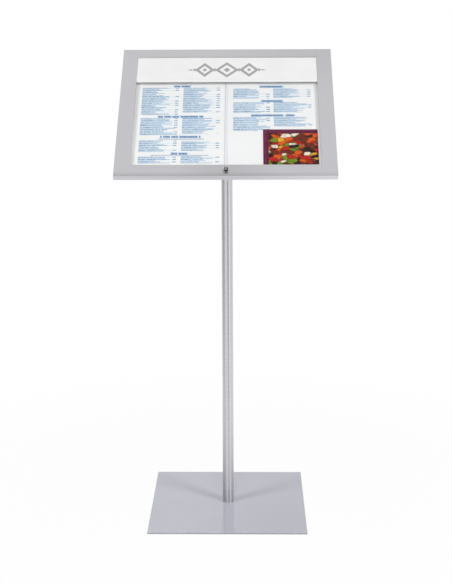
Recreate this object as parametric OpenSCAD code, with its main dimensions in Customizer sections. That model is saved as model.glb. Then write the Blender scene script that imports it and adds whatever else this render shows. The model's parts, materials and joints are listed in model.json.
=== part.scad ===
// Lockable display case for two menu pages, sloped like a lectern on a slim floor stand.
// The origin is on the floor under the pole's axis: +X to the reader's right, -Y to the reader, +Z up.

/* [Base] */
// Side of the square base plate
base_w = 390; // [300:5:500]
// Thickness of the base plate
base_t = 4; // [4:0.5:8]
// Radius of the base plate's corners
base_corner_r = 2; // [1:0.5:10]
// Radius of each foot pad
pad_r = 15; // [10:1:25]
// Thickness of the foot pads
pad_t = 1.5; // [1:0.5:4]
// Distance from the plate's edge to the middle of a corner pad
pad_inset = 26; // [25:1:60]
// Radius of the base bolt's thread
base_bolt_r = 4; // [3:0.5:5]
// Radius of the base bolt's countersunk head
base_bolt_head_r = 7.8; // [7:0.1:8]
// Length of the base bolt with its head
base_bolt_l = 30; // [15:1:38]
// Width of the hexagon socket in the base bolt
base_bolt_key = 5; // [3:0.5:6]

/* [Pole] */
// Outer radius of the pole tube
pole_r = 14; // [12:0.5:20]
// Wall of the pole tube
pole_wall = 2; // [1.5:0.1:3]
// Length of the threaded plug in the pole's foot
foot_plug_l = 40; // [30:1:80]
// Free space between the pole's top and the bracket plate, at the front of the tube
pole_top_gap = 12; // [5:1:30]
// Length of the spigot inside the pole
spigot_l = 80; // [60:1:150]
// Radius of the set screws that hold the spigot
set_screw_r = 3; // [2:0.5:4]
// Distance from the pole's top to the upper set screw
set_screw_down = 20; // [10:1:25]
// Distance between the two set screws
set_screw_pitch = 30; // [15:1:32]
// Depth of a set screw's seat in the spigot
set_screw_seat = 2; // [1:0.5:4]
// Width of the hexagon socket in a set screw
set_screw_key = 3; // [2:0.5:3.5]

/* [Bracket] */
// Width of the bracket plate across the case
bracket_w = 130; // [100:1:200]
// Length of the bracket plate along the slope
bracket_l = 100; // [80:1:150]
// Thickness of the bracket plate
bracket_t = 4; // [3:0.5:8]
// Radius of the bracket screws' thread
bracket_screw_r = 2.5; // [2:0.5:3]
// Radius of the bracket screws' countersunk head
bracket_screw_head_r = 4.6; // [4.2:0.1:5]
// Distance from the bracket plate's edges to its screws
bracket_screw_inset = 12; // [8:1:20]

/* [Case] */
// Width of the case across the door
case_w = 510; // [490:1:600]
// Length of the case along its slope
case_l = 423; // [415:1:520]
// Depth of the case from the door's face to the back of the back panel
case_depth = 14; // [14:0.1:20]
// Slope of the case from horizontal, in degrees
case_tilt = 39; // [25:1:50]
// Height of the middle of the door's face above the floor
case_z = 1013; // [850:1:1250]
// Distance from the pole's axis forward to the middle of the door's face
case_forward = 34; // [20:1:60]
// Radius of the case's corners, seen from the front
case_corner_r = 2.5; // [1:0.1:3]
// Thickness of the back panel
panel_t = 1.5; // [1:0.1:1.8]
// Thickness of the tray rails' rim
rim_t = 2; // [1.5:0.1:2.5]
// Thickness of the tray rails' flange
flange_t = 1.2; // [1:0.1:1.5]
// Width of the tray rails' flange
flange_w = 8; // [7:0.5:9]
// Radius of the tray rivets' shank
rivet_r = 1.6; // [1:0.1:1.8]
// Radius of the tray rivets' heads
rivet_head_r = 2.8; // [2.2:0.1:3]
// Thickness of the tray rivets' heads
rivet_head_t = 0.8; // [0.5:0.1:1]
// Number of rivets along each tray rail
rivet_count = 4; // [3:1:6]

/* [Door] */
// Width of the door's side rails
side_rail_w = 36.5; // [35.5:0.5:40]
// Width of the door's top rail
top_rail_w = 27.5; // [27:0.5:34]
// Width of the door's bottom rail
bottom_rail_w = 36; // [35.5:0.5:40]
// Thickness of the rails' face
face_t = 2; // [1.5:0.1:2.2]
// Thickness of the rails' outer wall
wall_t = 2; // [1.5:0.1:2.5]
// Width of the bevel round the window, on a side rail
bevel_w = 5.5; // [3:0.5:7]
// Drop of the bevel from the face to the window's edge
bevel_drop = 2.5; // [2:0.1:2.6]
// Thickness of the lip at the window's edge
lip_t = 0.7; // [0.5:0.1:0.8]
// Width of the rebate behind the lip, which takes the pane
rebate_w = 8; // [7:0.5:9]
// Thickness of the web beside the rebate
web_t = 1.6; // [1:0.1:1.8]
// How far the web stands past the pane's back
web_proud = 0.5; // [0.3:0.1:0.6]
// Chamfer along the rails' front outer edge
edge_chamfer = 0.5; // [0.2:0.1:1]
// Thickness of the clear pane
pane_t = 2; // [1.5:0.1:2.1]
// Space round the pane's edge
pane_clear = 0.4; // [0.1:0.1:0.8]
// Thickness of the glazing tape
tape_t = 0.6; // [0.5:0.1:0.7]
// Width of the glazing tape
tape_w = 6; // [4:0.5:6.5]
// Thickness of the white header sheet, which is bonded to the pane's front
header_t = 0.4; // [0.2:0.05:0.4]
// Space between the header sheet and the glazing tape round it
header_clear = 0.2; // [0.1:0.1:0.8]
// How far down the header sheet reaches past the pages' upper edge
header_lap = 21.5; // [5:0.5:30]
// Space between the door's walls and the tray
door_gap = 0.8; // [0.6:0.1:1]
// Thickness of the foam seal
seal_t = 2.2; // [1.5:0.1:3]
// Width of the foam seal
seal_w = 3.6; // [3:0.1:4]
// Space between the seal and the tray's rim
seal_gap = 0.2; // [0.2:0.1:0.4]
// Thickness of the door's corner keys
key_t = 2; // [1.5:0.1:3]
// Width of a corner key's arms
key_w = 10; // [8:0.5:11]
// Length of a corner key's arms
key_l = 45; // [30:1:70]

/* [Pages] */
// Width of a menu page
page_w = 210; // [200:1:212]
// Length of a menu page
page_l = 297; // [280:1:304]
// Thickness of a menu page in its clear sleeve
page_t = 0.3; // [0.2:0.05:0.5]
// Space between the two pages
page_gap = 8; // [6:0.5:10]
// Distance from the case's bottom to the pages' lower edge
page_up = 34; // [33:1:36]
// Width of the ledge that the pages stand on
ledge_w = 4; // [3:0.5:5]
// Thickness of the ledge
ledge_t = 2; // [1:0.1:2.2]
// Thickness of the strip between the pages
divider_t = 1.6; // [1:0.1:3]
// Space between the strip and each page
divider_clear = 0.2; // [0.1:0.1:0.5]

/* [Hinges] */
// Length of each hinge
hinge_l = 50; // [40:1:80]
// Distance from the case's side to the middle of a hinge
hinge_inset = 90; // [60:1:150]
// Thickness of the hinge leaves
leaf_t = 1; // [0.8:0.1:1.2]
// Width of the leaf on the case's back
case_leaf_w = 13; // [12:0.5:16]
// Width of the leaf on the door's top wall
door_leaf_w = 11; // [9:0.5:12]
// Outer radius of the hinge knuckles
knuckle_r = 2.2; // [2:0.1:2.3]
// Radius of the hinge pins
hinge_pin_r = 1.1; // [0.9:0.1:1.2]
// Number of knuckles in each hinge, an odd number
knuckle_count = 5; // [3:2:7]
// Space between neighbouring knuckles
knuckle_gap = 0.5; // [0.3:0.1:1]
// Radius of the hinge screws' shank
hinge_screw_r = 1.4; // [1:0.1:1.5]
// Radius of the hinge screws' heads
hinge_screw_head_r = 2.4; // [2:0.1:2.5]
// Thickness of the hinge screws' heads
hinge_screw_head_t = 0.9; // [0.5:0.1:1]
// Space between the knuckles and what they swing past
hinge_gap = 0.3; // [0.2:0.1:0.4]

/* [Lock] */
// Distance from the case's bottom to the lock's axis
lock_up = 18; // [17.5:0.1:18.5]
// Radius of the lock's round head
bezel_r = 6.4; // [6:0.1:7]
// Height of the lock's head above the door's face
bezel_t = 6.5; // [4.3:0.1:7]
// Radius of the lock's threaded body
lock_body_r = 5; // [4.9:0.1:5.2]
// Radius of the turning plug
plug_r = 3.6; // [3.4:0.1:3.8]
// Radius of the plug's head
plug_head_r = 4.9; // [4.7:0.1:5.2]
// Thickness of the plug's head
plug_head_t = 4; // [3.6:0.1:4]
// Depth of the plug's face below the bezel's
plug_sunk = 0.2; // [0.1:0.1:0.2]
// Outer radius of the ring-shaped keyway
keyway_r = 4.1; // [3.6:0.1:4.2]
// Width of the keyway's ring
keyway_w = 1.6; // [1:0.1:2]
// Depth of the keyway
keyway_deep = 3; // [2:0.1:3.2]
// Width of the keyway's notch
keyway_notch_w = 1.4; // [1:0.1:1.8]
// How far the notch reaches out of the keyway's ring
keyway_notch_reach = 0.4; // [0.2:0.1:0.4]
// Width of the lock nut across its flats
lock_nut_w = 14; // [13:0.5:15]
// Thickness of the lock nut
lock_nut_t = 2; // [1.5:0.1:2.5]
// Length of the cam from the lock's axis
cam_l = 11; // [10.5:0.1:11.5]
// Width of the cam
cam_w = 7; // [5:0.5:8]
// Thickness of the cam
cam_t = 1.4; // [1:0.1:1.5]
// Space between the cam and the keeper
cam_gap = 0.4; // [0.3:0.1:0.5]
// Space between the lock's body and the cam
cam_body_gap = 0.3; // [0.1:0.1:0.5]
// Rim of the cam round the plug's end
cam_rim = 0.8; // [0.5:0.1:1.5]
// Radius of the cam screw's shank
cam_screw_r = 1.5; // [1:0.1:1.8]
// Metal left between the keyway and the cam screw
cam_screw_floor = 0.8; // [0.5:0.1:1.5]
// Radius of the cam screw's head
cam_screw_head_r = 2.8; // [2.2:0.1:3]
// Thickness of the cam screw's head
cam_screw_head_t = 1.4; // [0.8:0.1:1.4]
// Thickness of the keeper
keeper_t = 1.2; // [1:0.1:1.3]
// Width of the keeper across the case
keeper_w = 16; // [12:0.5:24]
// Reach of the keeper's lip over the cam
keeper_reach = 5.5; // [5:0.1:6]

/* [Fits] */
// Radial space of a running or slip fit
fit_gap = 0.05; // [0.02:0.01:0.08]
// Radial space of the plugs inside the pole tube
tube_gap = 0.1; // [0.05:0.01:0.2]
// Space between pieces that pass without touching
pass_gap = 0.5; // [0.4:0.1:0.6]
// Space between the ends of strips of seal or tape
strip_gap = 0.3; // [0.1:0.1:0.8]

/* [Hidden] */
$fn = 64;

// A length that passes any piece, for cuts
far = 3 * (case_w + case_l);
// A small overshoot, for clean cuts, and a larger one for cuts right through a piece
cut = 0.01;
through = wall_t;

// Heights of the base
plate_bottom = pad_t;
plate_top = plate_bottom + base_t;
pad_place = base_w / 2 - pad_inset;

// Depths behind the door's face
panel_e = case_depth - panel_t;
lip_e = bevel_drop + lip_t;
pane_e = lip_e + tape_t;
pane_back_e = pane_e + pane_t;
web_e = pane_back_e + web_proud;
rim_e = face_t + seal_t + seal_gap;
flange_e = panel_e - flange_t;
bracket_back_e = case_depth + bracket_t;

// Distances in from the case's outer edge
tray_in = wall_t + door_gap;
rim_in = tray_in + rim_t;
flange_in = rim_in + flange_w;
rivet_in = rim_in + flange_w / 2;
key_in = wall_t + seal_w + pass_gap;

// The pages' lower and upper edges, from the middle of the case up the slope
page_bottom = page_up - case_l / 2;
page_top = page_bottom + page_l;

// The pane's edges, inside the rails' rebates
pane_x = case_w / 2 - side_rail_w + rebate_w - pane_clear;
pane_top = case_l / 2 - top_rail_w + rebate_w - pane_clear;
pane_bottom = bottom_rail_w - rebate_w + pane_clear - case_l / 2;

// The header sheet's edges: inside the tape at the sides and the top, and free below
header_x = pane_x - tape_w - header_clear;
header_top = pane_top - tape_w - header_clear;
header_bottom = page_top - header_lap;

// The hinge's axis, from the middle of the case up the slope, and behind the door's face
hinge_s = case_l / 2 + leaf_t - knuckle_r - hinge_gap;
hinge_e = case_depth + knuckle_r + hinge_gap;
hinge_x = case_w / 2 - hinge_inset;
knuckle_l = (hinge_l - (knuckle_count - 1) * knuckle_gap) / knuckle_count;
knuckle_pitch = knuckle_l + knuckle_gap;
leaf_swing_r = knuckle_r + hinge_gap;

// The lock's depths behind the door's face, and its place along the slope
keeper_e = web_e + pass_gap;
cam_e = keeper_e + keeper_t + cam_gap;
cam_back_e = cam_e + cam_t;
housing_end_e = cam_e - cam_body_gap;
plug_front_e = plug_sunk - bezel_t;
cam_screw_end_e = plug_front_e + keyway_deep + cam_screw_floor;
lock_s = lock_up - case_l / 2;

// The pole runs up to just below the bracket plate, which meets it on the slope
pole_top = case_z + (case_forward - pole_r) * tan(case_tilt) - bracket_back_e / cos(case_tilt)
    - pole_top_gap;
bracket_s = (case_forward - (case_depth + bracket_t / 2) * sin(case_tilt)) / cos(case_tilt);
spigot_r = pole_r - pole_wall - tube_gap;

silver = [0.76, 0.76, 0.78];
steel = [0.72, 0.72, 0.74];
plate_grey = [0.74, 0.74, 0.78];
zinc = [0.66, 0.67, 0.68];
white = [0.94, 0.94, 0.94];
paper = [0.96, 0.96, 0.98];
black = [0.12, 0.12, 0.12];
clear = [0.85, 0.9, 0.92, 0.35];

// Places children in the case: x across, y up the slope, z out of the door's face
module in_case() {
    translate([0, -case_forward, case_z])
        rotate([case_tilt, 0, 0])
            children();
}

// A cylinder along the case's depth, from depth e1 to depth e2
module deep_cylinder(r, e1, e2) {
    translate([0, 0, -e2])
        cylinder(r = r, h = e2 - e1);
}

// A plate in the case, from x1 to x2, from s1 to s2 up the slope and from depth e1 to depth e2
module slab(x1, x2, s1, s2, e1, e2) {
    translate([x1, s1, -e2])
        cube([x2 - x1, s2 - s1, e2 - e1]);
}

// A rectangle with round corners, centred on the origin
module round_rect(w, l, r) {
    square([w - 2 * r, l], center = true);
    square([w, l - 2 * r], center = true);
    for (x = [-1, 1], y = [-1, 1])
        translate([x * (w / 2 - r), y * (l / 2 - r)])
            circle(r = r);
}

// Four places, one in each corner of a rectangle
module four_corners(x, y) {
    for (i = [-1, 1], j = [-1, 1])
        translate([i * x, j * y, 0])
            children();
}

// Two places, left and right
module both_hinges() {
    for (side = [-1, 1])
        translate([side * hinge_x, 0, 0])
            children();
}

// A countersunk screw that points along +z, with its head's face at z = 0
module countersunk_screw(r, head_r, length, grow) {
    cone = head_r - r;
    translate([0, 0, -grow])
        cylinder(r1 = head_r + grow, r2 = r + grow, h = cone);
    cylinder(r = r + grow, h = length);
}

// BASE

module base_plate() {
    color(plate_grey)
        difference() {
            translate([0, 0, plate_bottom])
                linear_extrude(base_t)
                    round_rect(base_w, base_w, base_corner_r);
            translate([0, 0, plate_bottom])
                countersunk_screw(base_bolt_r, base_bolt_head_r, base_t + through, fit_gap);
        }
}

module pad() {
    color(black)
        cylinder(r = pad_r, h = pad_t);
}

module corner_pads() {
    four_corners(pad_place, pad_place)
        pad();
}

module centre_pad() {
    pad();
}

module base_bolt() {
    color(zinc)
        difference() {
            translate([0, 0, plate_bottom])
                countersunk_screw(base_bolt_r, base_bolt_head_r, base_bolt_l, 0);
            translate([0, 0, plate_bottom - cut])
                cylinder(d = base_bolt_key, h = base_t / 2, $fn = 6);
        }
}

// POLE

module foot_plug() {
    color(zinc)
        translate([0, 0, plate_top])
            difference() {
                cylinder(r = spigot_r, h = foot_plug_l);
                translate([0, 0, -cut])
                    cylinder(r = base_bolt_r + fit_gap, h = foot_plug_l + 2 * cut);
            }
}

// The two set screws' places, on the pole's back
module at_set_screws() {
    for (i = [0, 1])
        translate([0, 0, pole_top - set_screw_down - i * set_screw_pitch])
            rotate([-90, 0, 0])
                children();
}

module pole_tube() {
    color(steel)
        difference() {
            translate([0, 0, plate_top])
                cylinder(r = pole_r, h = pole_top - plate_top);
            translate([0, 0, plate_top - cut])
                cylinder(r = pole_r - pole_wall, h = pole_top - plate_top + 2 * cut);
            at_set_screws()
                cylinder(r = set_screw_r + fit_gap, h = pole_r + through);
        }
}

module head_spigot() {
    color(zinc)
        difference() {
            translate([0, 0, pole_top - spigot_l])
                cylinder(r = spigot_r, h = far);
            in_case()
                slab(-far, far, -far, far, -far, bracket_back_e);
            at_set_screws()
                translate([0, 0, spigot_r - set_screw_seat])
                    cylinder(r = set_screw_r + fit_gap, h = far);
        }
}

module set_screws() {
    color(black)
        at_set_screws()
            translate([0, 0, spigot_r - set_screw_seat])
                difference() {
                    cylinder(r = set_screw_r, h = set_screw_seat + pole_wall);
                    translate([0, 0, set_screw_seat])
                        cylinder(d = set_screw_key, h = pole_wall + through, $fn = 6);
                }
}

// BRACKET

// The bracket screws' places, on the front of the back panel
module at_bracket_screws() {
    translate([0, bracket_s, -panel_e])
        four_corners(bracket_w / 2 - bracket_screw_inset, bracket_l / 2 - bracket_screw_inset)
            rotate([180, 0, 0])
                children();
}

module bracket_screw(grow) {
    countersunk_screw(bracket_screw_r, bracket_screw_head_r, bracket_back_e - panel_e + grow, grow);
}

module bracket_plate() {
    color(silver)
        in_case()
            difference() {
                slab(-bracket_w / 2, bracket_w / 2, bracket_s - bracket_l / 2, bracket_s + bracket_l / 2,
                    case_depth, bracket_back_e);
                at_bracket_screws()
                    bracket_screw(fit_gap);
            }
}

module bracket_screws() {
    color(zinc)
        in_case()
            at_bracket_screws()
                bracket_screw(0);
}

// TRAY

// Places along one tray rail, which runs along x with its outer edge on y = 0
module along_rail(length, count) {
    pitch = (length - 4 * flange_in) / (count - 1);
    for (i = [0 : count - 1])
        translate([(i - (count - 1) / 2) * pitch, 0, 0])
            children();
}

// The length of a side by its number, and its distance from the middle of the case
function side_length(number) = (number % 2 == 0) ? case_w : case_l;
function side_depth(number) = side_length(number + 1) / 2;

// Children stand on the case's bottom edge, turned to each of its four sides by number
module on_side(number) {
    rotate([0, 0, number * 90])
        translate([0, -side_depth(number), 0])
            children();
}

module at_tray_rivets() {
    for (number = [0 : 3])
        on_side(number)
            along_rail(side_length(number), rivet_count)
                translate([0, rivet_in, 0])
                    children();
}

// The hinge screws' places along one leaf
module along_leaf() {
    for (i = [-1 : 1])
        translate([i * hinge_l / 3, 0, 0])
            children();
}

module at_case_leaf_screws() {
    both_hinges()
        along_leaf()
            translate([0, case_l / 2 - rivet_in, 0])
                children();
}

module back_panel() {
    color(silver)
        in_case()
            difference() {
                slab(tray_in - case_w / 2, case_w / 2 - tray_in, tray_in - case_l / 2, case_l / 2 - tray_in,
                    panel_e, case_depth);
                at_tray_rivets()
                    deep_cylinder(rivet_r + fit_gap, panel_e - through, case_depth + through);
                at_case_leaf_screws()
                    deep_cylinder(hinge_screw_r + fit_gap, panel_e - through, case_depth + through);
                at_bracket_screws()
                    bracket_screw(fit_gap);
            }
}

// A mitred angle along one side, cut by lines through the case's corners
module tray_rail(number) {
    length = side_length(number);
    color(silver)
        in_case()
            difference() {
                on_side(number)
                    intersection() {
                        union() {
                            slab(-length / 2, length / 2, tray_in, rim_in, rim_e, panel_e);
                            slab(-length / 2, length / 2, tray_in, flange_in, flange_e, panel_e);
                        }
                        translate([0, 0, -case_depth])
                            linear_extrude(case_depth)
                                polygon([
                                    [-length / 2, 0],
                                    [length / 2, 0],
                                    [length / 2 - 2 * flange_in, 2 * flange_in],
                                    [2 * flange_in - length / 2, 2 * flange_in]
                                ]);
                    }
                at_tray_rivets()
                    deep_cylinder(rivet_r + fit_gap, flange_e - through, panel_e + through);
                at_case_leaf_screws()
                    deep_cylinder(hinge_screw_r + fit_gap, flange_e - through, panel_e + through);
            }
}

module tray_rail_bottom() {
    tray_rail(0);
}

module tray_rail_right() {
    tray_rail(1);
}

module tray_rail_top() {
    tray_rail(2);
}

module tray_rail_left() {
    tray_rail(3);
}

module tray_rivets() {
    color(zinc)
        in_case()
            at_tray_rivets() {
                deep_cylinder(rivet_r, flange_e, case_depth);
                deep_cylinder(rivet_head_r, flange_e - rivet_head_t, flange_e);
                deep_cylinder(rivet_head_r, case_depth, case_depth + rivet_head_t);
            }
}

// PAGES

module page_ledge() {
    reach = page_gap / 2 + page_w;
    color(silver)
        in_case()
            slab(-reach, reach, page_bottom - ledge_w, page_bottom, panel_e - ledge_t, panel_e);
}

module page(side) {
    middle = side * (page_gap + page_w) / 2;
    color(paper)
        in_case()
            slab(middle - page_w / 2, middle + page_w / 2, page_bottom, page_top, panel_e - page_t,
                panel_e);
}

module page_left() {
    page(-1);
}

module page_right() {
    page(1);
}

module divider_strip() {
    half = page_gap / 2 - divider_clear;
    color(silver)
        in_case()
            slab(-half, half, page_bottom, page_top, panel_e - divider_t, panel_e);
}

// DOOR

// Section of a door rail: x is the distance in from the case's edge, y is minus the depth
module rail_section(rail_w) {
    bevel = bevel_w * rail_w / side_rail_w;
    web_in = rail_w - rebate_w;
    polygon([
        [0, -edge_chamfer],
        [edge_chamfer, 0],
        [rail_w - bevel, 0],
        [rail_w, -bevel_drop],
        [rail_w, -lip_e],
        [web_in, -lip_e],
        [web_in, -web_e],
        [web_in - web_t, -web_e],
        [web_in - web_t, -face_t],
        [wall_t, -face_t],
        [wall_t, -case_depth],
        [0, -case_depth]
    ]);
}

// A mitred rail along one side. The mitres run from the case's corners to the window's corners
module door_rail(number, rail_w, left_w, right_w) {
    length = side_length(number);
    color(silver)
        in_case()
            difference() {
                on_side(number)
                    intersection() {
                        translate([-length / 2, 0, 0])
                            rotate([90, 0, 90])
                                linear_extrude(length)
                                    rail_section(rail_w);
                        translate([0, 0, -case_depth])
                            linear_extrude(case_depth)
                                polygon([
                                    [-length / 2, 0],
                                    [length / 2, 0],
                                    [length / 2 - right_w, rail_w],
                                    [left_w - length / 2, rail_w]
                                ]);
                        translate([0, side_depth(number), -case_depth])
                            linear_extrude(case_depth)
                                round_rect(length, 2 * side_depth(number), case_corner_r);
                    }
                translate([0, lock_s, 0])
                    deep_cylinder(lock_body_r + fit_gap, -through, face_t + through);
                at_door_leaf_screws()
                    translate([0, 0, -wall_t - through])
                        cylinder(r = hinge_screw_r + fit_gap, h = wall_t + 2 * through);
            }
}

module door_rail_bottom() {
    door_rail(0, bottom_rail_w, side_rail_w, side_rail_w);
}

module door_rail_right() {
    door_rail(1, side_rail_w, bottom_rail_w, top_rail_w);
}

module door_rail_top() {
    door_rail(2, top_rail_w, side_rail_w, side_rail_w);
}

module door_rail_left() {
    door_rail(3, side_rail_w, top_rail_w, bottom_rail_w);
}

// An angle that joins two rails, with its outer corner at the origin
module corner_key() {
    linear_extrude(key_t) {
        square([key_l, key_w]);
        square([key_w, key_l]);
    }
}

module door_corner_keys() {
    color(zinc)
        in_case()
            for (i = [0, 1], j = [0, 1])
                mirror([i, 0, 0])
                    mirror([0, j, 0])
                        translate([key_in - case_w / 2, key_in - case_l / 2, -face_t - key_t])
                            corner_key();
}

// Four strips round a rectangle, with a small space where their ends meet
module strips(x, s1, s2, w, e1, e2) {
    slab(-x, x, s1, s1 + w, e1, e2);
    slab(-x, x, s2 - w, s2, e1, e2);
    for (side = [0, 1])
        mirror([side, 0, 0])
            slab(-x, w - x, s1 + w + strip_gap, s2 - w - strip_gap, e1, e2);
}

module door_seal() {
    color(black)
        in_case()
            strips(case_w / 2 - wall_t, wall_t - case_l / 2, case_l / 2 - wall_t, seal_w, face_t,
                face_t + seal_t);
}

module door_pane() {
    color(clear)
        in_case()
            slab(-pane_x, pane_x, pane_bottom, pane_top, pane_e, pane_back_e);
}

module pane_tape() {
    color(black)
        in_case()
            strips(pane_x, pane_bottom, pane_top, tape_w, lip_e, pane_e);
}

module header_panel() {
    color(white)
        in_case()
            slab(-header_x, header_x, header_bottom, header_top, pane_e - header_t, pane_e);
}

// HINGES

// Children lie on the hinge's axis
module at_hinge_axis() {
    translate([0, hinge_s, -hinge_e])
        rotate([0, 90, 0])
            children();
}

// Cylinders along the axis at every second knuckle, from the first one given
module knuckles(first, r, longer) {
    for (i = [first : 2 : knuckle_count - 1])
        translate([0, 0, i * knuckle_pitch - hinge_l / 2 - longer])
            cylinder(r = r, h = knuckle_l + 2 * longer);
}

// The pin's bore through a leaf
module pin_bore() {
    translate([0, 0, -hinge_l / 2 - through])
        cylinder(r = hinge_pin_r + fit_gap, h = hinge_l + 2 * through);
}

module hinge_case_leaf(side) {
    color(steel)
        in_case()
            difference() {
                translate([side * hinge_x, 0, 0])
                    difference() {
                        union() {
                            slab(-hinge_l / 2, hinge_l / 2, hinge_s - case_leaf_w,
                                case_l / 2 - wall_t - pass_gap, case_depth, case_depth + leaf_t);
                            at_hinge_axis()
                                knuckles(0, knuckle_r, 0);
                        }
                        at_hinge_axis() {
                            knuckles(1, leaf_swing_r, knuckle_gap);
                            pin_bore();
                        }
                    }
                at_case_leaf_screws()
                    deep_cylinder(hinge_screw_r + fit_gap, case_depth - through,
                        case_depth + leaf_t + through);
            }
}

module hinge_case_leaf_left() {
    hinge_case_leaf(-1);
}

module hinge_case_leaf_right() {
    hinge_case_leaf(1);
}

// The places of the screws through the door's top wall, with z out of the wall
module at_door_leaf_screws() {
    both_hinges()
        along_leaf()
            translate([0, case_l / 2, door_leaf_w / 2 - case_depth])
                rotate([-90, 0, 0])
                    children();
}

module hinge_door_leaf(side) {
    color(steel)
        in_case()
            difference() {
                translate([side * hinge_x, 0, 0])
                    difference() {
                        union() {
                            slab(-hinge_l / 2, hinge_l / 2, case_l / 2, case_l / 2 + leaf_t,
                                case_depth - door_leaf_w, hinge_e);
                            at_hinge_axis()
                                knuckles(1, knuckle_r, 0);
                            knuckle_links();
                        }
                        at_hinge_axis() {
                            knuckles(0, leaf_swing_r, knuckle_gap);
                            pin_bore();
                        }
                    }
                at_door_leaf_screws()
                    translate([0, 0, -through])
                        cylinder(r = hinge_screw_r + fit_gap, h = leaf_t + 2 * through);
            }
}

// Blocks that carry the door leaf's knuckles from its plate
module knuckle_links() {
    for (i = [1 : 2 : knuckle_count - 1])
        translate([i * knuckle_pitch - hinge_l / 2, 0, 0])
            slab(0, knuckle_l, hinge_s, case_l / 2 + leaf_t, hinge_e - knuckle_r, hinge_e);
}

module hinge_door_leaf_left() {
    hinge_door_leaf(-1);
}

module hinge_door_leaf_right() {
    hinge_door_leaf(1);
}

module hinge_pin(side) {
    color(zinc)
        in_case()
            translate([side * hinge_x, 0, 0])
                at_hinge_axis()
                    translate([0, 0, -hinge_l / 2])
                        cylinder(r = hinge_pin_r, h = hinge_l);
}

module hinge_pin_left() {
    hinge_pin(-1);
}

module hinge_pin_right() {
    hinge_pin(1);
}

module case_leaf_screws() {
    color(zinc)
        in_case()
            at_case_leaf_screws() {
                deep_cylinder(hinge_screw_r, flange_e, case_depth + leaf_t);
                deep_cylinder(hinge_screw_head_r, case_depth + leaf_t,
                    case_depth + leaf_t + hinge_screw_head_t);
            }
}

module door_leaf_screws() {
    color(zinc)
        in_case()
            at_door_leaf_screws() {
                translate([0, 0, -wall_t])
                    cylinder(r = hinge_screw_r, h = wall_t + leaf_t);
                translate([0, 0, leaf_t])
                    cylinder(r = hinge_screw_head_r, h = hinge_screw_head_t);
            }
}

// LOCK

// Children lie on the lock's axis
module at_lock() {
    in_case()
        translate([0, lock_s, 0])
            children();
}

module lock_housing() {
    color(zinc)
        at_lock()
            difference() {
                union() {
                    deep_cylinder(bezel_r, -bezel_t, 0);
                    deep_cylinder(lock_body_r, 0, housing_end_e);
                }
                deep_cylinder(plug_r + fit_gap, -far, far);
                deep_cylinder(plug_head_r + fit_gap, -far, plug_front_e + plug_head_t + fit_gap);
            }
}

module lock_nut() {
    color(zinc)
        at_lock()
            difference() {
                translate([0, 0, -face_t - lock_nut_t])
                    cylinder(d = lock_nut_w / cos(30), h = lock_nut_t, $fn = 6);
                deep_cylinder(lock_body_r + fit_gap, 0, case_depth);
            }
}

module lock_plug() {
    color(steel)
        at_lock()
            difference() {
                union() {
                    deep_cylinder(plug_r, plug_front_e, cam_e);
                    deep_cylinder(plug_head_r, plug_front_e, plug_front_e + plug_head_t);
                }
                keyway();
                deep_cylinder(cam_screw_r + fit_gap, cam_screw_end_e, cam_e + through);
            }
}

// A ring with a notch at its top, which leaves a round post in the middle
module keyway() {
    front = plug_front_e - through;
    floor_e = plug_front_e + keyway_deep;
    difference() {
        union() {
            deep_cylinder(keyway_r, front, floor_e);
            slab(-keyway_notch_w / 2, keyway_notch_w / 2, 0, keyway_r + keyway_notch_reach, front, floor_e);
        }
        deep_cylinder(keyway_r - keyway_w, front - cut, floor_e + cut);
    }
}

// The cam points along the rail when the door is free, and turns down the slope to lock it
module lock_cam() {
    end_r = cam_w / 2;
    color(zinc)
        at_lock()
            difference() {
                translate([0, 0, -cam_back_e])
                    linear_extrude(cam_t) {
                        circle(r = plug_r + cam_rim);
                        translate([0, -end_r])
                            square([cam_l - end_r, cam_w]);
                        translate([cam_l - end_r, 0])
                            circle(r = end_r);
                    }
                deep_cylinder(cam_screw_r + fit_gap, cam_e - through, cam_back_e + through);
            }
}

module cam_screw() {
    color(zinc)
        at_lock() {
            deep_cylinder(cam_screw_r, cam_screw_end_e, cam_back_e);
            deep_cylinder(cam_screw_head_r, cam_back_e, cam_back_e + cam_screw_head_t);
        }
}

// A hook on the bottom rail's rim, whose lip the cam turns behind
module lock_keeper() {
    color(zinc)
        in_case()
            on_side(0) {
                slab(-keeper_w / 2, keeper_w / 2, rim_in, rim_in + keeper_t, keeper_e, flange_e);
                slab(-keeper_w / 2, keeper_w / 2, rim_in, rim_in + keeper_reach, keeper_e,
                    keeper_e + keeper_t);
            }
}

base_plate();
corner_pads();
centre_pad();
base_bolt();
foot_plug();
pole_tube();
head_spigot();
set_screws();
bracket_plate();
bracket_screws();
back_panel();
tray_rail_left();
tray_rail_right();
tray_rail_top();
tray_rail_bottom();
tray_rivets();
page_ledge();
page_left();
page_right();
divider_strip();
lock_keeper();
hinge_case_leaf_left();
hinge_case_leaf_right();
hinge_pin_left();
hinge_pin_right();
case_leaf_screws();
door_rail_left();
door_rail_right();
door_rail_top();
door_rail_bottom();
door_corner_keys();
door_seal();
pane_tape();
door_pane();
header_panel();
hinge_door_leaf_left();
hinge_door_leaf_right();
door_leaf_screws();
lock_housing();
lock_nut();
lock_plug();
lock_cam();
cam_screw();
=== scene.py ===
# %% [markdown]
# A menu display stand. A shallow case with a clear door slopes like a lectern on a slim pole, and the pole
# stands on a thin square plate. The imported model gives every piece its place, so it is loaded first and
# never moved. What follows dresses it: the pieces that show most are modelled again with fine edges, and
# every other piece keeps its mesh and gets a finish.

# %% Load the frame
import json
import math

import bmesh
import bpy
from mathutils import Matrix, Vector


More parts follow.
